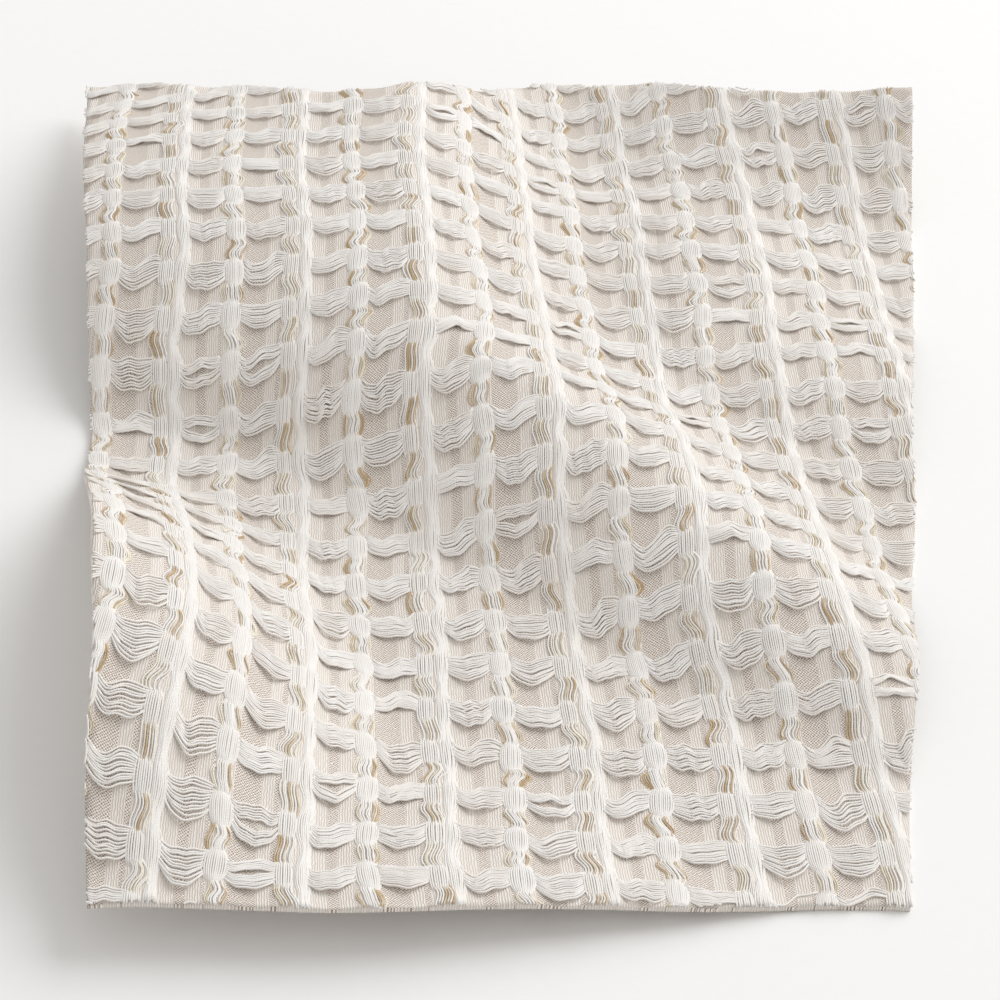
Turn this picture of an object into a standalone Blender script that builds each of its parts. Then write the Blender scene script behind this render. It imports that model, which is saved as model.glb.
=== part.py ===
# A cut length of waffle weave cotton blanket cloth, lying in soft folds.
#
# The cloth is one sheet. It is drawn flat first, in the cloth's own measures: u runs along the
# weft, from rib to rib, and v along the warp, from row to row. Four freehand cuts trim it, and
# then every point is laid on the folds at its true distance along the cloth.

from collections import namedtuple

import bmesh
import bpy
import numpy as np
from mathutils import Matrix, Vector

MM = 0.001

# Weave, in metres
COLUMN_PITCH = 12.0 * MM      # from one warp rib to the next
ROW_PITCH = 11.5 * MM         # from one row of weft floats to the next
GROUND_THICK = 1.1 * MM       # plain weave between the ribs
RIB_THICK = 2.6 * MM          # through a rib where it is fullest
FLOAT_THICK = 1.8 * MM        # through the weft floats between two ribs
PINCH = 0.35                  # share of a pillow rib's height lost between two rows
RIB_HALF_WIDTH = 4.5 * MM
STRAIGHT_RIB_SHIFT = 1.5 * MM   # a straight rib's fullest line, right of its column's line

# Points across one column and along one row
STEPS_PER_COLUMN = 4
STEPS_PER_ROW = 2
COLUMNS_DRAWN = 16
ROWS_DRAWN = 26
CUT_SNAP = 1.0 * MM           # points this near a cut are moved on to it
WELD = 0.5 * MM                # points beyond one corner of the cloth end up this close

# The four cuts, in millimetres on the flat cloth: each is a smooth line through its points
CutPoint = namedtuple("CutPoint", "along across")
BACK_CUT = [        # along u, across v
    CutPoint(-96, 139), CutPoint(-60, 124), CutPoint(-30, 117), CutPoint(-12, 125),
    CutPoint(12, 142), CutPoint(27, 139), CutPoint(50, 129), CutPoint(96, 127),
]
FRONT_CUT = [       # along u, across v
    CutPoint(-96, -128), CutPoint(-56, -117), CutPoint(-25, -116), CutPoint(10, -113),
    CutPoint(30, -110), CutPoint(60, -110),
]
LEFT_CUT = [        # along v, across u
    CutPoint(-140, -79), CutPoint(-108, -81), CutPoint(-85, -84), CutPoint(-60, -88),
    CutPoint(-40, -88), CutPoint(12, -86), CutPoint(50, -88), CutPoint(145, -94),
]
RIGHT_CUT = [       # along v, across u
    CutPoint(-120, 48), CutPoint(-88, 53), CutPoint(-54, 60), CutPoint(-19, 68),
    CutPoint(20, 74), CutPoint(46, 78), CutPoint(72, 83), CutPoint(95, 86), CutPoint(140, 92),
]

# The main fold, in millimetres: one row for each section across it, from front to back.
# crest is the u of its ridge, left and right are how far it reaches to either side.
Section = namedtuple("Section", "v crest rise left right")
MAIN_FOLD = [
    Section(-90, 64, 0.0, 44, 36),
    Section(-58, 51, 8.5, 54, 40),
    Section(-36, 37, 12.0, 62, 47),
    Section(-14, 18, 14.5, 68, 54),
    Section(8, 0, 17.0, 76, 60),
    Section(28, -19, 20.0, 86, 58),
    Section(52, -26, 22.0, 92, 52),
    Section(90, -27, 22.0, 95, 52),
    Section(160, -28, 21.0, 95, 52),
]
CREST_SHARPNESS = 1.7         # 2 is a round crest, less is a sharper one

# The lesser folds and swells, in millimetres: centre, reach along u, reach behind and before
Swell = namedtuple("Swell", "name u v along behind before rise")
SWELLS = [
    Swell("left shelf", -102, 76, 74, 95, 80, 14.0),
    Swell("left mound", -112, -58, 92, 82, 74, 34.0),
    Swell("front rise", -50, -150, 130, 105, 60, 13.0),
    Swell("back corner", 108, 172, 130, 60, 98, 34.0),
    Swell("back swell", 38, 72, 56, 90, 72, 8.5),
    Swell("right swell", 90, 24, 64, 44, 52, 7.5),
]

# The hollows lie pressed flat on the surface below
PRESSED = 1.6 * MM            # rise that the cloth's own weight takes away
EASING = 2.4 * MM             # height over which a hollow's side leaves the surface

# The laying-out net, finer than the cloth's points
NET_STEP = 1.0 * MM
NET_U = (-110, 110)
NET_V = (-140, 160)
NET_ROUNDS = 4

CLOTH_COLOUR = (0.84, 0.82, 0.77, 1.0)
CLOTH_ROUGHNESS = 0.95


def clear_scene():
    for obj in list(bpy.data.objects):
        bpy.data.objects.remove(obj, do_unlink=True)


def bell(distance_squared):
    """A smooth bump, 1 at distance 0 and 0 from distance 1 outwards."""
    return np.clip(1.0 - distance_squared, 0.0, 1.0) ** 2


def smooth_between(x, knots, values):
    """A smooth curve through the values at the knots."""
    i = np.clip(np.searchsorted(knots, x) - 1, 0, len(knots) - 2)
    span = knots[i + 1] - knots[i]
    t = np.clip((x - knots[i]) / span, 0.0, 1.0)
    slope = np.gradient(values, knots)
    return ((2 * t**3 - 3 * t**2 + 1) * values[i]
            + (t**3 - 2 * t**2 + t) * span * slope[i]
            + (3 * t**2 - 2 * t**3) * values[i + 1]
            + (t**3 - t**2) * span * slope[i + 1])


def main_fold_rise(u, v):
    columns = np.array(MAIN_FOLD, float).T * MM
    section = Section(columns[0], *[smooth_between(v, columns[0], c) for c in columns[1:]])
    across = u - section.crest
    reach = np.where(across < 0, section.left, section.right)
    return section.rise * bell(np.abs(across / reach) ** CREST_SHARPNESS)


def swell_rise(swell, u, v):
    across = (u - swell.u * MM) / (swell.along * MM)
    reach = np.where(v > swell.v * MM, swell.behind, swell.before) * MM
    return swell.rise * MM * bell(across**2 + ((v - swell.v * MM) / reach) ** 2)


def fold_height(u, v):
    """Height of the cloth's underside above the surface it lies on."""
    rise = main_fold_rise(u, v) + sum(swell_rise(swell, u, v) for swell in SWELLS) - PRESSED
    eased = rise**2 / (2 * EASING)
    return np.where(rise < 0, 0.0, np.where(rise < EASING, eased, rise - EASING / 2))


def running_length(rate, axis, start):
    """Adds up a rate along an axis of the net, from the start index both ways."""
    means = (np.take(rate, range(1, rate.shape[axis]), axis)
             + np.take(rate, range(rate.shape[axis] - 1), axis)) / 2
    total = np.concatenate([np.zeros_like(np.take(rate, [0], axis)),
                            np.cumsum(means * NET_STEP, axis)], axis)
    return total - np.take(total, [start], axis)


def lay_out_net():
    """Plan places x and y, and height z, at each net point, so that the cloth isn't stretched."""
    us = np.arange(NET_U[0], NET_U[1] + 1) * NET_STEP
    vs = np.arange(NET_V[0], NET_V[1] + 1) * NET_STEP
    u, v = np.meshgrid(us, vs, indexing="ij")
    z = fold_height(u, v)
    z_along_u, z_along_v = np.gradient(z, NET_STEP)
    x_along_v = np.zeros_like(z)
    y_along_u = np.zeros_like(z)
    for _ in range(NET_ROUNDS):
        x = running_length(np.sqrt(1 - z_along_u**2 - y_along_u**2), 0, -NET_U[0])
        y = running_length(np.sqrt(1 - z_along_v**2 - x_along_v**2), 1, -NET_V[0])
        x_along_v = np.gradient(x, NET_STEP, axis=1)
        y_along_u = np.gradient(y, NET_STEP, axis=0)
    return np.stack([x, y, z], axis=-1)


def place_on_net(net, u, v):
    """The laid place of the flat cloth's point (u, v)."""
    a = u / NET_STEP - NET_U[0]
    b = v / NET_STEP - NET_V[0]
    i, j = int(a), int(b)
    s, t = a - i, b - j
    front = net[i, j] * (1 - s) + net[i + 1, j] * s
    back = net[i, j + 1] * (1 - s) + net[i + 1, j + 1] * s
    return Vector(front * (1 - t) + back * t)


def cloth_thickness(u, v):
    """Thickness at (u, v): pillow ribs and straight ribs take turns, floats cross between."""
    column = round(u / COLUMN_PITCH)
    is_pillow = column % 2 == 1
    shift = 0.0 if is_pillow else STRAIGHT_RIB_SHIFT
    rib = bell(((u - column * COLUMN_PITCH - shift) / RIB_HALF_WIDTH) ** 2)
    on_row = 0.5 - 0.5 * np.cos(2 * np.pi * v / ROW_PITCH)
    fullness = 1.0 - PINCH * (1.0 - on_row) if is_pillow else 1.0
    return (GROUND_THICK + (RIB_THICK - GROUND_THICK) * rib * fullness
            + (FLOAT_THICK - GROUND_THICK) * (1.0 - rib) * on_row)


def cut_line(cut, along):
    """Where a cut runs, at a distance along it."""
    points = np.array(cut, float).T * MM
    return float(smooth_between(along, points[0], points[1]))


def trim(across, low, high):
    """Moves a point on to the cut that it is beyond, or nearly reaches."""
    if across < low + CUT_SNAP:
        return low
    if across > high - CUT_SNAP:
        return high
    return across


def flat_cloth():
    """The flat cloth's net of points, lined up with its ribs and rows and trimmed to the cuts."""
    mesh = bmesh.new()
    bmesh.ops.create_grid(mesh, x_segments=COLUMNS_DRAWN * STEPS_PER_COLUMN,
                          y_segments=ROWS_DRAWN * STEPS_PER_ROW, size=0.5)
    width = COLUMNS_DRAWN * COLUMN_PITCH
    length = ROWS_DRAWN * ROW_PITCH
    bmesh.ops.scale(mesh, vec=(width, length, 1.0), verts=mesh.verts)
    for vert in mesh.verts:
        u, v = vert.co.x, vert.co.y
        v = trim(v, cut_line(FRONT_CUT, u), cut_line(BACK_CUT, u))
        u = trim(u, cut_line(LEFT_CUT, v), cut_line(RIGHT_CUT, v))
        vert.co = (u, trim(v, cut_line(FRONT_CUT, u), cut_line(BACK_CUT, u)), 0.0)
    # what lay beyond the cuts has no area left
    bmesh.ops.remove_doubles(mesh, verts=mesh.verts[:], dist=WELD)
    return mesh


def cloth_material():
    material = bpy.data.materials.new("cotton")
    material.use_nodes = True
    shader = material.node_tree.nodes["Principled BSDF"]
    shader.inputs["Base Color"].default_value = CLOTH_COLOUR
    shader.inputs["Roughness"].default_value = CLOTH_ROUGHNESS
    shader.inputs["Metallic"].default_value = 0.0
    return material


def build_cloth(collection):
    flat = flat_cloth()
    net = lay_out_net()
    shares = []
    for vert in flat.verts:
        u, v = vert.co.x, vert.co.y
        shares.append(cloth_thickness(u, v) / RIB_THICK)
        vert.co = place_on_net(net, u, v)
    mesh = bpy.data.meshes.new("cloth")
    flat.to_mesh(mesh)
    flat.free()
    cloth = bpy.data.objects.new("cloth", mesh)
    collection.objects.link(cloth)
    cloth.data.materials.append(cloth_material())

    fullness = cloth.vertex_groups.new(name="fullness")
    for index, share in enumerate(shares):
        fullness.add([index], share, "REPLACE")
    thicken = cloth.modifiers.new("thicken", "SOLIDIFY")
    thicken.thickness = RIB_THICK
    thicken.offset = 1.0
    thicken.vertex_group = fullness.name
    mesh.shade_smooth()
    return cloth


def centre_on_origin(obj):
    """Puts the origin at the middle of the piece's base."""
    depsgraph = bpy.context.evaluated_depsgraph_get()
    corners = np.array(obj.evaluated_get(depsgraph).bound_box)
    middle = (corners.min(axis=0) + corners.max(axis=0)) / 2
    obj.data.transform(Matrix.Translation((-middle[0], -middle[1], -corners[:, 2].min())))
    obj.data.update()


def main():
    clear_scene()
    collection = bpy.data.collections.new("waffle weave cotton blanket")
    bpy.context.scene.collection.children.link(collection)
    cloth = build_cloth(collection)
    centre_on_origin(cloth)


main()
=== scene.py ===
import bmesh
import bpy
import numpy as np
from mathutils import Matrix, Vector


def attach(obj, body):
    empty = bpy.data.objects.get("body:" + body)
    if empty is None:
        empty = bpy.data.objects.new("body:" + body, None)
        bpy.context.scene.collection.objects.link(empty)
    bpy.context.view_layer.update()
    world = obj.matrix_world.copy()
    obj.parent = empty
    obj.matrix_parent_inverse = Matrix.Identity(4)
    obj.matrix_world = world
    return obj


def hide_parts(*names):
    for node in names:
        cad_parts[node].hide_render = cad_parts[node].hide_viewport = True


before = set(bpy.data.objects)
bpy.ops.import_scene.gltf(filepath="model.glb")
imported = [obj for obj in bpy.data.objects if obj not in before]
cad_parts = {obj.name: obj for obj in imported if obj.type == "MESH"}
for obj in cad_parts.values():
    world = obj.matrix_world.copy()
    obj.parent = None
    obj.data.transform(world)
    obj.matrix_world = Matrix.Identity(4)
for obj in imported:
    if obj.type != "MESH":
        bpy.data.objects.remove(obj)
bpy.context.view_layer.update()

# Everything about the weave is in millimetres: u runs along the weft, v along the warp and
# h up through the cloth from its underside. Points become metres when they are laid.
mm = 0.001
rng = np.random.default_rng(24)

weave = dict(
    column=12.0,        # from one warp rib to the next
    row=11.5,           # from one row of floats to the next
    columns=range(-8, 9),
    rows=range(-12, 13),
    swing=(0.35, 0.8),  # how far the ribs and the rows wander from straight lines
    # a long wave and a short one in each: length along it, length across it and phase
    ribWaves=[(15, 29, 0), (6.3, -17, 1)],
    rowWaves=[(18, 37, 0), (7.7, -23, 2)],
    shortWave=0.6,      # height of the short wave beside the long one
    fray=0.35,          # how unevenly the yarns end at the cuts
)
pillowColumns = [c for c in weave["columns"] if c % 2 == 1]
straightColumns = [c for c in weave["columns"] if c % 2 == 0]

cut = dict(
    # cuts, each a smooth line: back and front as u, v and the sides as v, u
    back=[(-96, 139), (-60, 124), (-30, 117), (-12, 125), (12, 142), (27, 139), (50, 129),
          (96, 127)],
    front=[(-96, -128), (-56, -117), (-25, -116), (10, -113), (30, -110), (60, -110)],
    left=[(-140, -79), (-108, -81), (-85, -84), (-60, -88), (-40, -88), (12, -86), (50, -88),
          (145, -94)],
    right=[(-120, 48), (-88, 53), (-54, 60), (-19, 68), (20, 74), (46, 78), (72, 83), (95, 86),
           (140, 92)],
    area=0.0386,        # square metres of flat cloth
    zero=(1.18, -12.77),    # where the flat cloth's zero point lies in the part's frame
)


# The folds, the same as the solid's

fold = dict(
    roundness=1.7,      # the higher, the broader the main fold's crest
    pressed=1.6,        # height lost where the cloth is pressed flat on what it lies on
    easing=2.4,         # height in which it bends up from there
    # v, then the crest's u, its rise and its reach to the left and right
    sections=[
        (-90, 64, 0.0, 44, 36),
        (-58, 51, 8.5, 54, 40),
        (-36, 37, 12.0, 62, 47),
        (-14, 18, 14.5, 68, 54),
        (8, 0, 17.0, 76, 60),
        (28, -19, 20.0, 86, 58),
        (52, -26, 22.0, 92, 52),
        (90, -27, 22.0, 95, 52),
        (160, -28, 21.0, 95, 52),
    ],
    # u and v of the centre, reach along u, reach behind and before, rise
    swells=dict(
        leftShelf=(-102, 76, 74, 95, 80, 14.0),
        leftMound=(-112, -58, 92, 82, 74, 34.0),
        frontRise=(-50, -150, 130, 105, 60, 13.0),
        backCorner=(108, 172, 130, 60, 98, 34.0),
        backSwell=(38, 72, 56, 90, 72, 8.5),
        rightSwell=(90, 24, 64, 44, 52, 7.5),
    ),
    netU=(-110, 110),
    netV=(-140, 160),
    netPasses=4,        # rounds of fitting the net to its own slopes
)


def bell(distanceSquared):
    return np.clip(1 - distanceSquared, 0, 1) ** 2


def smoothBetween(x, knots, values):
    i = np.clip(np.searchsorted(knots, x) - 1, 0, len(knots) - 2)
    span = knots[i + 1] - knots[i]
    t = np.clip((x - knots[i]) / span, 0, 1)
    slope = np.gradient(values, knots)
    return ((2 * t**3 - 3 * t**2 + 1) * values[i] + (t**3 - 2 * t**2 + t) * span * slope[i]
            + (3 * t**2 - 2 * t**3) * values[i + 1] + (t**3 - t**2) * span * slope[i + 1])


def foldHeight(u, v):
    knots, *lines = np.array(fold["sections"], float).T
    crest, rise, left, right = [smoothBetween(v, knots, line) for line in lines]
    across = u - crest
    total = rise * bell(np.abs(across / np.where(across < 0, left, right)) ** fold["roundness"])
    for cu, cv, along, behind, before, swellRise in fold["swells"].values():
        reach = np.where(v > cv, behind, before)
        total = total + swellRise * bell(((u - cu) / along) ** 2 + ((v - cv) / reach) ** 2)
    lifted = total - fold["pressed"]
    easing = fold["easing"]
    return np.where(lifted < 0, 0, np.where(lifted < easing, lifted**2 / (2 * easing),
                                            lifted - easing / 2))


def runningLength(rate, axis, start):
    means = (np.take(rate, range(1, rate.shape[axis]), axis)
             + np.take(rate, range(rate.shape[axis] - 1), axis)) / 2
    total = np.concatenate([np.zeros_like(np.take(rate, [0], axis)), np.cumsum(means, axis)], axis)
    return total - np.take(total, [start], axis)


def layOutNet():
    # places and normals of the underside, a millimetre apart
    us = np.arange(fold["netU"][0], fold["netU"][1] + 1.0)
    vs = np.arange(fold["netV"][0], fold["netV"][1] + 1.0)
    u, v = np.meshgrid(us, vs, indexing="ij")
    z = foldHeight(u, v)
    zAlongU, zAlongV = np.gradient(z)
    xAlongV = np.zeros_like(z)
    yAlongU = np.zeros_like(z)
    for _ in range(fold["netPasses"]):
        x = runningLength(np.sqrt(1 - zAlongU**2 - yAlongU**2), 0, -fold["netU"][0])
        y = runningLength(np.sqrt(1 - zAlongV**2 - xAlongV**2), 1, -fold["netV"][0])
        xAlongV = np.gradient(x, axis=1)
        yAlongU = np.gradient(y, axis=0)
    places = np.stack([x + cut["zero"][0], y + cut["zero"][1], z], axis=-1)
    normals = np.cross(np.gradient(places, axis=0), np.gradient(places, axis=1))
    normals /= np.linalg.norm(normals, axis=-1, keepdims=True)
    return np.concatenate([places, normals], axis=-1)


net = layOutNet()


def readNet(u, v):
    a = np.clip(u - fold["netU"][0], 0, net.shape[0] - 1.001)
    b = np.clip(v - fold["netV"][0], 0, net.shape[1] - 1.001)
    i, j = a.astype(int), b.astype(int)
    s, t = (a - i)[..., None], (b - j)[..., None]
    return ((net[i, j] * (1 - s) + net[i + 1, j] * s) * (1 - t)
            + (net[i, j + 1] * (1 - s) + net[i + 1, j + 1] * s) * t)


def onCloth(paths):
    # (u, v, h) in millimetres to a place in metres and the cloth's normal there
    read = readNet(paths[..., 0], paths[..., 1])
    return (read[..., :3] + read[..., 3:] * paths[..., 2:3]) * mm, read[..., 3:]


def stray(along, across, swing, longAndShort):
    long, short = [np.sin(along / lengthAlong + across / lengthAcross + phase)
                   for lengthAlong, lengthAcross, phase in longAndShort]
    return swing * (long + weave["shortWave"] * short)


def wander(u, v):
    # how far a rib and a row stray at this point
    ribSwing, rowSwing = weave["swing"]
    return stray(v, u, ribSwing, weave["ribWaves"]), stray(u, v, rowSwing, weave["rowWaves"])


def cutLine(side, along):
    knots, values = np.array(cut[side], float).T
    return smoothBetween(along, knots, values)


def outsideBy(u, v):
    # distance outside the cuts, negative inside
    return np.max([v - cutLine("back", u), cutLine("front", u) - v, cutLine("left", v) - u,
                   u - cutLine("right", v)], axis=0)


ground = dict(
    step=1.5,           # one square of its mesh
    drawn=(192, 297),   # the whole mesh before it is cut
    snap=0.5,           # a corner this near a cut moves on to it
    thick=1.05,
    puff=0.55,          # how much thinner it is in the middle of a square
    rowPuff=0.5,        # how much of that is left out along a row
)


def groundTop(u, v):
    # the cloth is thickest along the ribs and thinnest in the middle of each square
    across = 0.5 - 0.5 * np.cos(2 * np.pi * u / weave["column"])
    onRow = 0.5 - 0.5 * np.cos(2 * np.pi * v / weave["row"])
    return ground["thick"] * (1 - ground["puff"] * across * (1 - ground["rowPuff"] * onRow))


# Strands: every yarn is a thin four-sided tube, and all those of a kind are one mesh

trimming = dict(
    finer=6,            # how many times as many points a path has while it is cut
    shortest=3,         # a stub of no more than this many of them is dropped
)


def within(reach, shape=None):
    # a random stray, up to this far either way
    return rng.uniform(-reach, reach, shape)


def anyPhase(shape=None):
    return rng.uniform(0, 6.28, shape)


def oneMoreOrLess(strands):
    return strands + rng.integers(-1, 2)


def atLeast(low, share):
    # a share from 0 to 1 that starts from low instead
    return low + (1 - low) * share


def crown(s, curve):
    # the round back of a bundle, 1 in its middle
    return np.sqrt(1 - (curve * s) ** 2)


def trimToCut(paths):
    # cuts each path where it leaves the cloth, and keeps its number of points
    count, points = paths.shape[:2]
    fine = np.linspace(0, points - 1, points * trimming["finer"])
    low = np.clip(fine.astype(int), 0, points - 2)
    share = (fine - low)[None, :, None]
    dense = paths[:, low] * (1 - share) + paths[:, low + 1] * share
    inside = outsideBy(dense[..., 0], dense[..., 1]) < within(weave["fray"], (count, 1))
    first = np.argmax(inside, axis=1)
    left = ~inside & (np.arange(inside.shape[1])[None, :] > first[:, None])
    last = np.where(left.any(axis=1), np.argmax(left, axis=1), inside.shape[1]) - 1
    keep = inside.any(axis=1) & (last - first > trimming["shortest"])
    dense, first, last = dense[keep], first[keep], last[keep]
    steps = first[:, None] + (last - first)[:, None] * np.linspace(0, 1, points)[None, :]
    low = np.clip(steps.astype(int), 0, dense.shape[1] - 2)
    share = (steps - low)[..., None]
    each = np.arange(len(dense))[:, None]
    return dense[each, low] * (1 - share) + dense[each, low + 1] * share, keep


def unit(vectors):
    return vectors / np.linalg.norm(vectors, axis=-1, keepdims=True)


def layStrands(name, paths, radius, flatten, tones, material, sides=4):
    # paths is (strands, points, 3) in weave measures
    du, dv = wander(paths[..., 0], paths[..., 1])
    paths = paths + np.stack([du, dv, np.zeros_like(du)], axis=-1)
    paths, keep = trimToCut(paths)
    tones = tones[keep]
    places, normals = onCloth(paths)
    along = unit(np.gradient(places, axis=1))
    side = unit(np.cross(along, normals))
    up = np.cross(side, along)
    angles = (np.arange(sides) + 0.5) * 2 * np.pi / sides
    ring = (side[:, :, None] * np.cos(angles)[:, None]
            + up[:, :, None] * np.sin(angles)[:, None] * flatten)
    verts = places[:, :, None] + ring * radius * mm
    count, points = verts.shape[:2]
    index = np.arange(count * points * sides).reshape(count, points, sides)
    nextSide = np.roll(index, -1, axis=2)
    walls = np.stack([index[:, :-1], index[:, 1:], nextSide[:, 1:], nextSide[:, :-1]], axis=-1)
    ends = np.concatenate([index[:, 0], index[:, -1, ::-1]])
    mesh = bpy.data.meshes.new(name)
    mesh.from_pydata(verts.reshape(-1, 3), [], walls.reshape(-1, 4).tolist() + ends.tolist())
    steps = np.linalg.norm(np.diff(places, axis=1), axis=-1) / mm
    lengths = np.concatenate([np.zeros((count, 1)), np.cumsum(steps, axis=1)], axis=1)
    coords = np.stack([np.repeat(lengths[:, :, None], sides, 2),
                       np.broadcast_to(np.arange(sides) / sides, (count, points, sides))], -1)
    loops = np.empty(len(mesh.loops), int)
    mesh.loops.foreach_get("vertex_index", loops)
    mesh.uv_layers.new(name="along").uv.foreach_set("vector", coords.reshape(-1, 2)[loops].ravel())
    tone = mesh.attributes.new("tone", "FLOAT", "POINT")
    tone.data.foreach_set("value", np.repeat(tones, points * sides))
    mesh.shade_smooth()
    mesh.materials.append(material)
    piece = bpy.data.objects.new(name, mesh)
    bpy.context.collection.objects.link(piece)
    print(f"{name}: {count} strands, {count * (points * sides * 2 - 2 * sides + 4)} triangles")
    return piece


def spread(count, looseness):
    # places of the strands across a bundle, from -1 to 1
    gap = 2 / (count - 1)
    return np.linspace(-1, 1, count) + within(gap * looseness, count)


def bundle(u, v, h):
    return np.stack(np.broadcast_arrays(u, v, h), axis=-1)


def bundleTones(bundles, tones, vary):
    # the yarns of one bundle are much alike
    return np.clip(np.concatenate([rng.uniform(*tones) + within(vary, len(lot))
                                   for lot in bundles]), 0, 1)


# Materials


class Nodes:
    def __init__(self, tree):
        self.tree = tree

    def add(self, kind, inputs=None, **settings):
        node = self.tree.nodes.new(kind)
        for key, value in settings.items():
            setattr(node, key, value)
        for key, value in (inputs or {}).items():
            if isinstance(value, bpy.types.NodeSocket):
                self.tree.links.new(value, node.inputs[key])
            else:
                node.inputs[key].default_value = value
        return node

    def math(self, operation, a, b=0.0, c=0.0):
        return self.add("ShaderNodeMath", {0: a, 1: b, 2: c}, operation=operation).outputs[0]

    def mix(self, factor, a, b):
        node = self.add("ShaderNodeMix", {0: factor, 6: a, 7: b}, data_type="RGBA")
        return node.outputs[2]

    def ramp(self, factor, stops):
        node = self.add("ShaderNodeValToRGB", {0: factor})
        band = node.color_ramp
        while len(band.elements) < len(stops):
            band.elements.new(0.5)
        for element, (place, value) in zip(band.elements, stops):
            element.position = place
            element.color = (value, value, value, 1)
        return node.outputs[0]


def newMaterial(name, roughness, sheen):
    material = bpy.data.materials.new(name)
    material.use_nodes = True
    shader = material.node_tree.nodes["Principled BSDF"]
    shader.inputs["Roughness"].default_value = roughness
    shader.inputs["Sheen Weight"].default_value = sheen
    shader.inputs["Specular IOR Level"].default_value = 0.2
    return material, shader, Nodes(material.node_tree)


yarnLook = dict(
    roughness=0.9, sheen=0.4,
    twist=0.55,             # millimetres of yarn in one turn
    twistHeight=0.35,       # beside the fuzz
    # how much darker the twist's grooves are painted: painted shade
    twistGrooveShade=0.06,
    fuzz=9000.0,            # noise scale of the fibres
    fuzzShade=0.3,
    patches=450.0,          # noise scale of the uneven spinning
    patchShade=1.2,
    bump=0.4, bumpDepth=0.00006,
)


def makeYarnGrain():
    # twist and fibre fuzz of a yarn, from its length and its place on the cloth
    group = bpy.data.node_groups.new("yarnGrain", "ShaderNodeTree")
    for name in ("light", "deep"):
        group.interface.new_socket(name, in_out="INPUT", socket_type="NodeSocketColor")
    group.interface.new_socket("colour", in_out="OUTPUT", socket_type="NodeSocketColor")
    group.interface.new_socket("height", in_out="OUTPUT", socket_type="NodeSocketFloat")
    n = Nodes(group)
    given = n.add("NodeGroupInput")
    result = n.add("NodeGroupOutput")
    along = n.add("ShaderNodeSeparateXYZ",
                  {0: n.add("ShaderNodeUVMap", uv_map="along").outputs[0]})
    turns = n.math("MULTIPLY_ADD", along.outputs[0], 1 / yarnLook["twist"], along.outputs[1])
    twist = n.math("SINE", n.math("MULTIPLY", turns, 2 * np.pi))
    where = n.add("ShaderNodeTexCoord").outputs["Object"]
    fuzz = n.add("ShaderNodeTexNoise", {"Vector": where, "Scale": yarnLook["fuzz"],
                                        "Detail": 2.0}).outputs[0]
    patches = n.add("ShaderNodeTexNoise", {"Vector": where, "Scale": yarnLook["patches"]})
    tone = n.math("MULTIPLY_ADD", n.math("SUBTRACT", patches.outputs[0], 0.5),
                  yarnLook["patchShade"],
                  n.add("ShaderNodeAttribute", attribute_name="tone").outputs["Fac"])
    height = n.math("ADD", n.math("MULTIPLY", twist, yarnLook["twistHeight"]), fuzz)
    shade = n.math("MULTIPLY_ADD", n.math("SUBTRACT", fuzz, 0.5), yarnLook["fuzzShade"], tone)
    # the colour is darker in the twist's grooves, where the bump sinks: painted shade
    colour = n.mix(n.math("MULTIPLY_ADD", twist, yarnLook["twistGrooveShade"], shade),
                   given.outputs["deep"], given.outputs["light"])
    n.tree.links.new(colour, result.inputs["colour"])
    n.tree.links.new(height, result.inputs["height"])
    return group


yarnGrain = makeYarnGrain()


def yarnMaterial(name, light, deep):
    material, shader, n = newMaterial(name, yarnLook["roughness"], yarnLook["sheen"])
    grain = n.add("ShaderNodeGroup", node_tree=yarnGrain)
    grain.inputs["light"].default_value = (*light, 1)
    grain.inputs["deep"].default_value = (*deep, 1)
    bump = n.add("ShaderNodeBump", {"Strength": yarnLook["bump"],
                                    "Distance": yarnLook["bumpDepth"],
                                    "Height": grain.outputs["height"]})
    n.tree.links.new(grain.outputs["colour"], shader.inputs["Base Color"])
    n.tree.links.new(bump.outputs[0], shader.inputs["Normal"])
    return material


whiteCotton = yarnMaterial("whiteCotton", (0.915, 0.892, 0.866), (0.88, 0.836, 0.786))
tanCotton = yarnMaterial("tanCotton", (0.93, 0.89, 0.78), (0.58, 0.415, 0.225))


# The pillows: barrels of white warp yarns on every other rib, one at each row

pillow = dict(
    strands=12, radius=0.215, flatten=0.7, points=10,
    loose=0.1,          # how unevenly the strands are spaced, as a share of the spacing
    width=3.85,         # in its middle
    neck=2.1,           # and at its ends
    roundness=1.7,      # the higher, the squarer the barrel
    fullness=(0.8, 1.15),   # the least and the greatest share, here and in every pair like it
    length=9.4, lengths=(0.85, 1.05),
    bowed=0.5,          # how much sooner its outer yarns end
    aside=0.2, along=0.5, lean=0.35,    # how far it strays
    base=-0.06,         # height over the ground
    lift=0.27,          # how much higher in the middle
    curve=0.94,         # how round its back is
    edge=0.1, tip=0.3,  # share of that height left at its sides and ends
    sinkFrom=0.8, sink=0.25,    # the ends dive in
)


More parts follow.
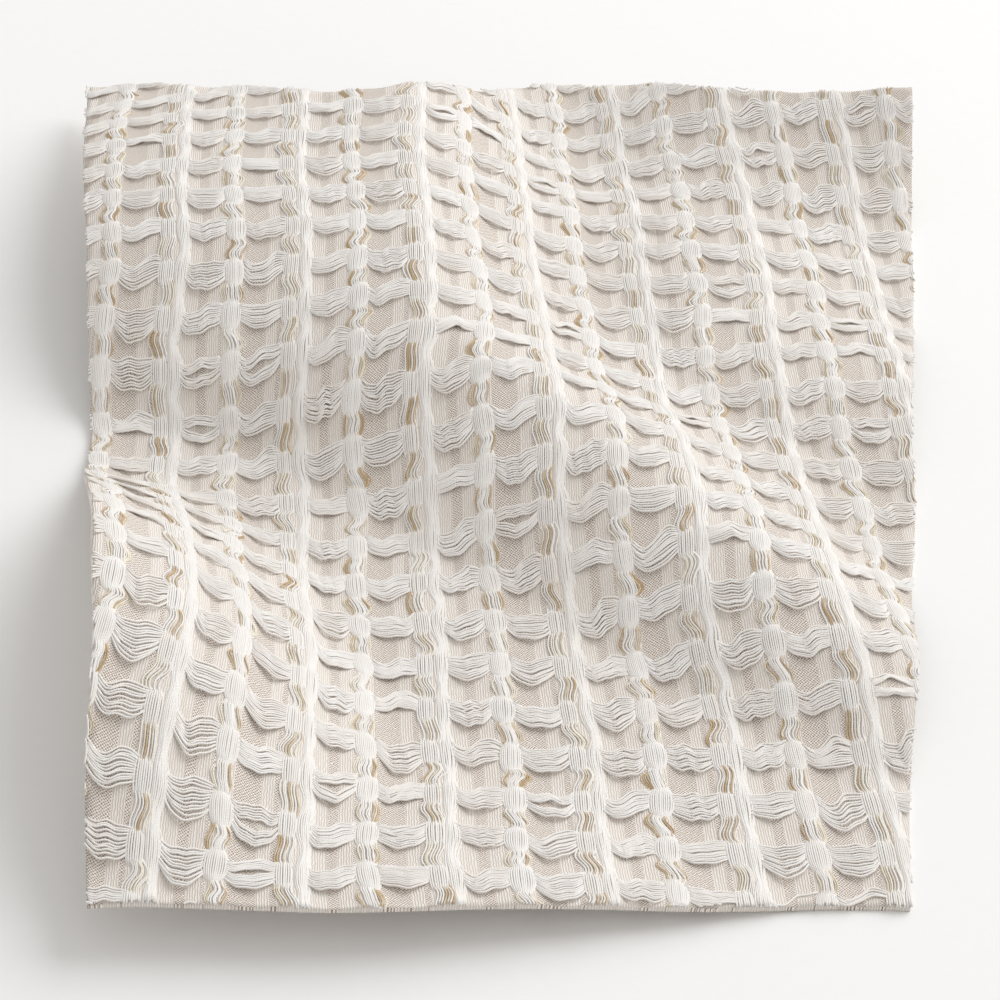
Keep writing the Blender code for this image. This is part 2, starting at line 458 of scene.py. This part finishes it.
def pillowPaths():
    t = np.linspace(-1, 1, pillow["points"])[None, :]
    barrel = 0.5 + 0.5 * np.cos(np.pi * np.abs(t) ** pillow["roundness"])
    atTip = np.clip((np.abs(t) - pillow["sinkFrom"]) / (1 - pillow["sinkFrom"]), 0, 1)
    paths = []
    for c in pillowColumns:
        for r in weave["rows"]:
            s = spread(pillow["strands"], pillow["loose"])[:, None]
            fullness = rng.uniform(*pillow["fullness"])
            width = pillow["neck"] + (pillow["width"] - pillow["neck"]) * barrel * fullness
            lean = within(pillow["lean"])
            u = c * weave["column"] + within(pillow["aside"]) + lean * t + s * width / 2
            middle = (r + 0.5) * weave["row"] + within(pillow["along"])
            half = pillow["length"] / 2 * rng.uniform(*pillow["lengths"])
            v = middle + t * (half - pillow["bowed"] * s**2)
            back = atLeast(pillow["edge"], crown(s, pillow["curve"]))
            raised = pillow["lift"] * fullness * back * atLeast(pillow["tip"], barrel)
            h = groundTop(u, v) + pillow["base"] + raised - pillow["sink"] * atTip**2
            paths.append(bundle(u, v, h))
    return paths


# The necks between them: a few wavy white yarns

neck = dict(
    strands=6, radius=0.19, flatten=0.8, points=12, loose=0.3,
    width=1.8, waist=0.1, length=6.6,
    bow=0.85,           # how far it bends to one side, at most
    sway=0.75,          # and to both
    ripple=0.12,
    uneven=0.25,        # how much its yarns differ in that
    base=0.02, lift=0.2, edge=0.55,
)


def neckPaths(bows):
    x = np.linspace(0, 1, neck["points"])[None, :]
    arch, twice, ripple = [np.sin(k * np.pi * x) for k in (1, 2, 4)]
    paths = []
    for c in pillowColumns:
        for r in weave["rows"]:
            bow, sway = bows[c, r]
            s = spread(oneMoreOrLess(neck["strands"]), neck["loose"])[:, None]
            loose = 1 + within(neck["uneven"], s.shape)
            wave = loose * (bow * arch + sway * twice + neck["ripple"] * ripple)
            u = c * weave["column"] + s * neck["width"] / 2 * (1 - neck["waist"] * arch) + wave
            v = r * weave["row"] + (x - 0.5) * neck["length"]
            raised = neck["lift"] * arch * atLeast(neck["edge"], 1 - s**2)
            h = groundTop(u, v) + neck["base"] + raised
            paths.append(bundle(u, v, h))
    return paths


# Tan yarns that show beside each neck, bowed out from it

flank = dict(
    strands=(4, 2),     # at most, on the fuller side and on the other, and half as many at least
    radius=0.15, flatten=0.9, points=10,
    turns=(2.1, 0.4),   # how fast the fuller side changes from rib to rib and along a rib
    left=-0.3,          # it is the left one below this
    start=0.85,         # from the middle of the rib
    out=(0.25, 0.75),   # how far they bow out
    gap=0.36, closed=0.5,   # between two of them, and the share of it at their ends
    uneven=0.2,
    bow=0.8, sway=0.9,  # shares of the neck's
    length=6.4, lengths=(0.75, 1.05), along=0.4,
    base=0.04, lift=0.12, fall=0.06,
)


def flankPaths(bows):
    x = np.linspace(0, 1, flank["points"])[None, :]
    arch, twice = np.sin(np.pi * x), np.sin(2 * np.pi * x)
    paths = []
    for c in pillowColumns:
        for r in weave["rows"]:
            bow, sway = bows[c, r]
            turn = flank["turns"][0] * c + flank["turns"][1] * r
            fuller = 1 if np.sin(turn) > flank["left"] else -1
            for side, most in zip((fuller, -fuller), flank["strands"]):
                count = rng.integers(most // 2, most + 1)
                s = np.arange(count)[:, None] + within(flank["uneven"], (count, 1))
                out = rng.uniform(*flank["out"]) * arch
                wave = flank["bow"] * bow * arch + flank["sway"] * sway * twice
                length = flank["length"] * rng.uniform(*flank["lengths"])
                aside = flank["start"] + out + s * flank["gap"] * atLeast(flank["closed"], arch)
                u = c * weave["column"] + side * aside + wave
                v = r * weave["row"] + within(flank["along"]) + (x - 0.5) * length
                raised = flank["lift"] * arch - flank["fall"] * s
                h = groundTop(u, v) + flank["base"] + raised
                paths.append(bundle(u, v, h))
    return paths


# On the ribs between, a flat strip of warp yarns at each row, left of a straight rib

strip = dict(
    strands=8, radius=0.215, flatten=0.7, points=8, loose=0.12,
    middle=-1.1,        # from the middle of the rib
    width=2.7, neck=2.1, roundness=2.4,
    length=6.9, lengths=(0.9, 1.1),
    aside=0.2, along=0.3,
    base=-0.06, lift=0.3, curve=0.85, edge=0.2,
    tipFall=0.6,        # the lower, the more suddenly its ends fall off
)


def stripPaths():
    t = np.linspace(-1, 1, strip["points"])[None, :]
    barrel = 1 - np.abs(t) ** strip["roundness"]
    width = strip["neck"] + (strip["width"] - strip["neck"]) * barrel
    paths = []
    for c in straightColumns:
        for r in weave["rows"]:
            s = spread(strip["strands"], strip["loose"])[:, None]
            middle = c * weave["column"] + strip["middle"] + within(strip["aside"])
            u = middle + s * width / 2
            half = strip["length"] / 2 * rng.uniform(*strip["lengths"], s.shape)
            v = (r + 0.5) * weave["row"] + within(strip["along"]) + t * half
            back = atLeast(strip["edge"], crown(s, strip["curve"]))
            raised = strip["lift"] * back * barrel ** strip["tipFall"]
            h = groundTop(u, v) + strip["base"] + raised
            paths.append(bundle(u, v, h))
    return paths


# Between two strips, a bundle of wavy yarns, three of them tan and the others white

waves = dict(
    strands=7, radius=0.17, flatten=0.85, points=11, loose=0.3,
    tan=(0, 1, 3),      # the tan ones, counted from the first tan one
    middle=-1.0, width=2.6, length=7.6,
    bow=0.9, sway=0.8, uneven=0.2,
    base=0.04, lift=0.18, edge=0.5,
)


def wavePaths():
    x = np.linspace(0, 1, waves["points"])[None, :]
    arch, twice = np.sin(np.pi * x), np.sin(2 * np.pi * x)
    tan, white = [], []
    for c in straightColumns:
        for r in weave["rows"]:
            bow, sway = within(waves["bow"]), within(waves["sway"])
            s = spread(waves["strands"], waves["loose"])[:, None]
            loose = 1 + within(waves["uneven"], s.shape)
            wave = loose * (bow * arch + sway * twice)
            u = c * weave["column"] + waves["middle"] + s * waves["width"] / 2 + wave
            v = r * weave["row"] + (x - 0.5) * waves["length"]
            raised = waves["lift"] * arch * atLeast(waves["edge"], 1 - s**2)
            h = groundTop(u, v) + waves["base"] + raised
            whole = bundle(u, v, h)
            pick = rng.integers(0, waves["strands"] - waves["tan"][-1]) + np.array(waves["tan"])
            tan.append(whole[pick])
            white.append(np.delete(whole, pick, axis=0))
    return tan, white


# The straight ribs run on through every row

rib = dict(
    strands=9, radius=0.215, flatten=0.7, pointsPerRow=7, loose=0.12,
    middle=1.95,        # from the middle of the rib's column
    width=2.6,
    wave=0.45,          # how far it bends between the rows
    bends=[(1, 19, 1), (0.7, 7.3, 2), (0.4, 0.9, 1)],   # share, length and shift of each bend
    draw=0.4, gather=0.3,   # how much its yarns draw together there
    breathe=0.08, breath=5.1,   # how much its width varies, and how slowly
    stray=0.05, strayLength=2.1,    # the same for each yarn's own course
    base=-0.1, lift=0.14,
    swell=0.16,         # how much higher it is where it goes over a row of floats
    curve=0.9,
)


def ribPaths():
    rows = len(weave["rows"])
    v = np.linspace(weave["rows"][0], weave["rows"][-1] + 1, rows * rib["pointsPerRow"] + 1)
    v = v[None, :] * weave["row"]
    over = 0.5 - 0.5 * np.cos(2 * np.pi * v / weave["row"])
    # between the rows the yarns are free to wave a little
    free = (1 - over) ** 2
    paths = []
    for c in straightColumns:
        s = spread(rib["strands"], rib["loose"])[:, None]
        phase = anyPhase()
        push = sum(share * np.sin(v / length + shift * phase)
                   for share, length, shift in rib["bends"])
        wave = rib["wave"] * free * (push - rib["draw"] * s)
        own = rib["stray"] * np.sin(v / rib["strayLength"] + anyPhase(s.shape))
        breathe = 1 + rib["breathe"] * np.sin(v / rib["breath"] + phase) - rib["gather"] * free
        u = c * weave["column"] + rib["middle"] + s * rib["width"] / 2 * breathe + own + wave
        raised = (rib["lift"] + rib["swell"] * over) * crown(s, rib["curve"])
        h = groundTop(u, v) + rib["base"] + raised
        paths.append(bundle(u, v, h))
    return paths


# The floats: bundles of slack weft yarns that droop from rib to rib along each row

floats = dict(
    strands=12, radius=0.215, flatten=0.75, points=14, loose=0.17,
    closer=0.03,                # the points are closer together in the middle
    fromPillow=(1.6, 10.1),     # start and end, from the middle of a pillow rib
    fromStraight=(2.5, 10.5),   # and of a straight one
    stagger=0.35,               # how unevenly the yarns start and end
    ends=3.6, middle=5.0,       # the bundle's width
    fullness=(0.85, 1.1),
    place=0.9, drop=0.5,        # how far off the row's middle it lies
    rise=(-0.4, 1.2),           # from its start to its end
    sag=(0.9, 2.7), bowl=0.85,  # how far it droops, and how roundly
    hump=(-1.0, -0.2), humps=0.06,  # some rise instead
    fan=(0.2, 0.65),            # how much more the lower yarns droop
    lean=(-1.1, 0.3),           # how much higher its first half hangs than its second
    skew=(-0.5, 0.1),           # and its two shoulders than its middle
    uneven=0.04,
    crinkle=(0.1, 0.35), crinkles=(2, 3), shift=0.7,    # small waves, and their shift by yarn
    eye=(0.5, 1.2), eyes=0.06, eyeEdge=0.7,     # some open up in the middle
    over=0.1,                   # the upper yarns' height over the ground
    base=0.85, lift=0.65, lifts=(0.75, 1.25), liftBowl=0.9,     # height of the others
    # how far its yarns stand out, from the lowest, which turns in, to the uppermost, which lies
    # on the ground
    standOut=([-1.1, -0.6, 1.1], [0.8, 1.0, 0.0]),
)


def floatPaths(columns, ends):
    x = np.linspace(0, 1, floats["points"])[None, :]
    x = x + floats["closer"] * np.sin(2 * np.pi * x)
    arch, twice, thrice = [np.sin(k * np.pi * x) for k in (1, 2, 3)]
    paths = []
    for c in columns:
        for r in weave["rows"]:
            q = spread(oneMoreOrLess(floats["strands"]), floats["loose"])[:, None]
            humped = rng.uniform() < floats["humps"]
            # the lower yarns sag the most and the upper ones bulge up near one end
            fan = rng.uniform(*floats["fan"]) * q
            sag = rng.uniform(*floats["hump" if humped else "sag"]) * (1 - fan)
            lean = rng.uniform(*floats["lean"]) * (1 + fan)
            loose = 1 + within(floats["uneven"], q.shape)
            phase = anyPhase() + floats["shift"] * q
            crinkle = rng.uniform(*floats["crinkle"]) * arch
            skew = rng.uniform(*floats["skew"])
            wave = loose * (-sag * arch ** floats["bowl"] + lean * twice + skew * thrice)
            wave += crinkle * np.sin(2 * np.pi * rng.uniform(*floats["crinkles"]) * x + phase)
            eye = rng.uniform(*floats["eye"]) if rng.uniform() < floats["eyes"] else 0.0
            wave += eye * np.sign(q) * (1 - floats["eyeEdge"] * np.abs(q)) * arch**2
            middle = floats["middle"] * rng.uniform(*floats["fullness"])
            half = (floats["ends"] + (middle - floats["ends"]) * arch) / 2
            rise = rng.uniform(*floats["rise"]) * (x - 0.5)
            place = (r + 0.5) * weave["row"] + floats["place"] + within(floats["drop"])
            start, end = [each + within(floats["stagger"], q.shape) for each in ends]
            u = c * weave["column"] + start + (end - start) * x
            v = place + rise + q * half + wave
            low = groundTop(u, v) + floats["over"]
            lift = floats["lift"] * rng.uniform(*floats["lifts"])
            high = floats["base"] + lift * arch ** floats["liftBowl"]
            h = low + np.interp(q, *floats["standOut"]) * (high - low)
            paths.append(bundle(u, v, h))
    return paths


# The ground: plain weave with smooth warp stripes, one sheet under all the yarns


def trim(across, low, high, snap):
    # moves what is beyond a cut, or nearly reaches it, on to the cut
    return np.where(across < low + snap, low, np.where(across > high - snap, high, across))


def groundShape():
    mesh = bmesh.new()
    width, length = ground["drawn"]
    bmesh.ops.create_grid(mesh, x_segments=int(width / ground["step"]),
                          y_segments=int(length / ground["step"]), size=0.5)
    bmesh.ops.scale(mesh, vec=(width, length, 1), verts=mesh.verts)
    flat = np.array([vert.co for vert in mesh.verts])
    snap = ground["snap"]
    u, v = flat[:, 0], flat[:, 1]
    v = trim(v, cutLine("front", u), cutLine("back", u), snap)
    u = trim(u, cutLine("left", v), cutLine("right", v), snap)
    v = trim(v, cutLine("front", u), cutLine("back", u), snap)
    for vert, place in zip(mesh.verts, np.stack([u, v, 0 * u], axis=-1)):
        vert.co = place
    bmesh.ops.remove_doubles(mesh, verts=mesh.verts[:], dist=snap / 2)
    return mesh


def makeGround(material):
    shape = groundShape()
    flat = np.array([v.co for v in shape.verts])
    u, v = flat[:, 0], flat[:, 1]
    du, dv = wander(u, v)
    coords = np.stack([u - du, v - dv], axis=-1)
    laid = onCloth(np.stack([u, v, 0 * u], axis=-1))[0]
    uvLayer = shape.loops.layers.uv.new("weave")
    shape.verts.index_update()
    for face in shape.faces:
        for loop in face.loops:
            loop[uvLayer].uv = coords[loop.vert.index]
    for vert, place in zip(shape.verts, laid):
        vert.co = place
    mesh = bpy.data.meshes.new("ground")
    shape.to_mesh(mesh)
    shape.free()
    mesh.shade_smooth()
    mesh.materials.append(material)
    piece = bpy.data.objects.new("ground", mesh)
    bpy.context.collection.objects.link(piece)
    full = piece.vertex_groups.new(name="full")
    share = groundTop(coords[:, 0], coords[:, 1]) / ground["thick"]
    for index, value in enumerate(share):
        full.add([index], float(value), "REPLACE")
    thicken = piece.modifiers.new("thicken", "SOLIDIFY")
    thicken.thickness = ground["thick"] * mm
    thicken.offset = 1
    thicken.vertex_group = full.name
    return piece


groundWeave = dict(
    roughness=0.95, sheen=0.1,
    thread=0.56,        # one warp or weft yarn of the plain weave and its gap
    stripe=0.42,        # the same for the smooth stripes
    unevenness=0.48, strays=1.1,    # how far the threads stray, and how often
    dotDepth=0.75, dotTone=0.66,    # contrast and middle tone of the plain weave
    # the plain weave: light threads, and between them a dark brown that is partly the yarn's own
    # warm tone and partly painted shade in the gaps
    light=(0.955, 0.915, 0.87, 1), deep=(0.31, 0.205, 0.125, 1),
    # the smooth stripes, in tones set a little darker and warmer than the yarns' as painted shade
    # of the recessed squares, with painted shade in the gaps between their threads
    smooth=(0.91, 0.872, 0.83, 1), smoothGapShade=(0.72, 0.65, 0.58, 1),
    # where the smooth stripes start and end, from one pillow rib to the next
    stripes=[(-1, 1.7), (6.6, 8.5), (9.7, 17.5), (19.6, 21.8), (22.5, 25)],
    edge=0.25,
    bump=0.7, bumpDepth=0.00012,
)


def stripeMask(n, u):
    # 1 on the smooth stripes, by the share of the way from one pillow rib to the next
    pair = 2 * weave["column"]
    onward = n.math("SUBTRACT", u, weave["column"])
    repeat = n.math("DIVIDE", n.math("FLOORED_MODULO", onward, pair), pair)
    edge = groundWeave["edge"]
    stops = []
    for start, end in groundWeave["stripes"]:
        stops += [(start - edge, 0.0), (start, 1.0), (end, 1.0), (end + edge, 0.0)]
    return n.ramp(repeat, [(where / pair, value) for where, value in stops if 0 <= where <= pair])


def threads(n, along, width):
    return n.math("SINE", n.math("MULTIPLY", along, 2 * np.pi / width))


def groundMaterial():
    look = groundWeave
    material, shader, n = newMaterial("groundWeave", look["roughness"], look["sheen"])
    place = n.add("ShaderNodeUVMap", uv_map="weave").outputs[0]
    noise = n.add("ShaderNodeTexNoise", {"Vector": place, "Scale": look["strays"],
                                         "Detail": 1.0}).outputs[1]
    noise = n.add("ShaderNodeVectorMath", {0: noise, 1: (0.5, 0.5, 0.5)}, operation="SUBTRACT")
    place = n.add("ShaderNodeVectorMath",
                  {0: noise.outputs[0], 1: (look["unevenness"],) * 3, 2: place},
                  operation="MULTIPLY_ADD").outputs[0]
    place = n.add("ShaderNodeSeparateXYZ", {0: place})
    u, v = place.outputs[0], place.outputs[1]
    warp, weft = threads(n, u, look["thread"]), threads(n, v, look["thread"])
    # the dots of the plain weave; their dark tone is painted shade between the threads, over the
    # yarn's warm tone
    dots = n.math("MULTIPLY_ADD", n.math("MULTIPLY", warp, weft), look["dotDepth"],
                  look["dotTone"])
    # the fine lines of the smooth stripes; their darker tone is painted shade between the threads
    lines = n.math("MULTIPLY_ADD", threads(n, u, look["stripe"]), 0.5, 0.5)
    stripes = stripeMask(n, u)
    dotted = n.mix(dots, look["deep"], look["light"])
    smooth = n.mix(lines, look["smoothGapShade"], look["smooth"])
    height = n.add("ShaderNodeMix", {0: stripes, 2: dots, 3: lines}, data_type="FLOAT")
    bump = n.add("ShaderNodeBump", {"Strength": look["bump"], "Distance": look["bumpDepth"],
                                    "Height": height.outputs[0]})
    n.tree.links.new(n.mix(stripes, dotted, smooth), shader.inputs["Base Color"])
    n.tree.links.new(bump.outputs[0], shader.inputs["Normal"])
    return material


# Build

base = makeGround(groundMaterial())
print("ground laid")
bows = {(c, r): (within(neck["bow"]), within(neck["sway"]))
        for c in pillowColumns for r in weave["rows"]}

pieces = []


def addStrands(name, bundles, kind, material, tones, vary=0.2):
    pieces.append(layStrands(name, np.concatenate(bundles), kind["radius"], kind["flatten"],
                             bundleTones(bundles, tones, vary), material))


# the last pair is the darkest and lightest tone of a bundle
addStrands("pillows", pillowPaths(), pillow, whiteCotton, (0.6, 1.0))
addStrands("necks", neckPaths(bows), neck, whiteCotton, (0.5, 1.0))
addStrands("flanks", flankPaths(bows), flank, tanCotton, (0.1, 0.9), vary=0.5)
addStrands("strips", stripPaths(), strip, whiteCotton, (0.4, 0.9))
tanWaves, whiteWaves = wavePaths()
addStrands("tanWaves", tanWaves, waves, tanCotton, (0.2, 0.9), vary=0.5)
addStrands("whiteWaves", whiteWaves, waves, whiteCotton, (0.4, 1.0))
addStrands("straightRibs", ribPaths(), rib, whiteCotton, (0.5, 0.9))
addStrands("pillowFloats", floatPaths(pillowColumns, floats["fromPillow"]), floats,
           whiteCotton, (0.4, 1.0))
addStrands("ribFloats", floatPaths(straightColumns, floats["fromStraight"]), floats,
           whiteCotton, (0.4, 1.0))

for piece in [base, *pieces]:
    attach(piece, "root")
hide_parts("cloth")
print("yarns laid")


# Camera, floor and light

view = dict(
    place=(-57, -438, 333.5),   # millimetres from the flat cloth's zero point
    right=(0.9962, -0.064, 0.059),
    up=(-0.0082, 0.606, 0.7955),
    lens=107.9,
    shift=(0.004, -0.010),
)
studio = dict(
    keyFrom=(0.66, 0.48, 0.56), keyDistance=2.4, keySize=2.4,   # metres
    keyPower=46.5,
    sky=(1.0, 0.98, 0.955, 1), skyStrength=0.63,
    floorReach=3, floorRoughness=0.8, floorGrain=400.0,
    floorTones=[(0.93, 0.93, 0.93, 1), (0.95, 0.95, 0.95, 1)],
)


def makeCamera():
    data = bpy.data.cameras.new("camera")
    data.lens = view["lens"]
    data.shift_x, data.shift_y = view["shift"]
    camera = bpy.data.objects.new("camera", data)
    bpy.context.scene.collection.objects.link(camera)
    right = Vector(view["right"]).normalized()
    back = right.cross(Vector(view["up"])).normalized()
    up = back.cross(right)
    place = (Vector(view["place"]) + Vector((*cut["zero"], 0))) * mm
    camera.matrix_world = Matrix((right, up, back)).transposed().to_4x4()
    camera.matrix_world.translation = place
    bpy.context.scene.camera = camera


def makeFloor():
    mesh = bmesh.new()
    bmesh.ops.create_grid(mesh, x_segments=1, y_segments=1, size=studio["floorReach"])
    data = bpy.data.meshes.new("floor")
    mesh.to_mesh(data)
    mesh.free()
    floor = bpy.data.objects.new("floor", data)
    bpy.context.scene.collection.objects.link(floor)
    material, shader, n = newMaterial("paleFloor", studio["floorRoughness"], 0.0)
    grain = n.add("ShaderNodeTexNoise", {"Vector": n.add("ShaderNodeTexCoord").outputs["Object"],
                                         "Scale": studio["floorGrain"]})
    n.tree.links.new(n.mix(grain.outputs[0], *studio["floorTones"]), shader.inputs["Base Color"])
    data.materials.append(material)


def makeKeyLight():
    data = bpy.data.lights.new("key", "AREA")
    data.shape = "DISK"
    data.size = studio["keySize"]
    data.energy = studio["keyPower"]
    lamp = bpy.data.objects.new("key", data)
    bpy.context.scene.collection.objects.link(lamp)
    towards = Vector(studio["keyFrom"]).normalized()
    lamp.location = towards * studio["keyDistance"]
    lamp.rotation_euler = towards.to_track_quat("Z", "Y").to_euler()


def makeSky():
    world = bpy.data.worlds.new("studio")
    world.use_nodes = True
    background = world.node_tree.nodes["Background"]
    background.inputs["Color"].default_value = studio["sky"]
    background.inputs["Strength"].default_value = studio["skyStrength"]
    bpy.context.scene.world = world


makeCamera()
makeFloor()
makeKeyLight()
makeSky()
bpy.context.scene.view_settings.view_transform = "Standard"
print("studio set")
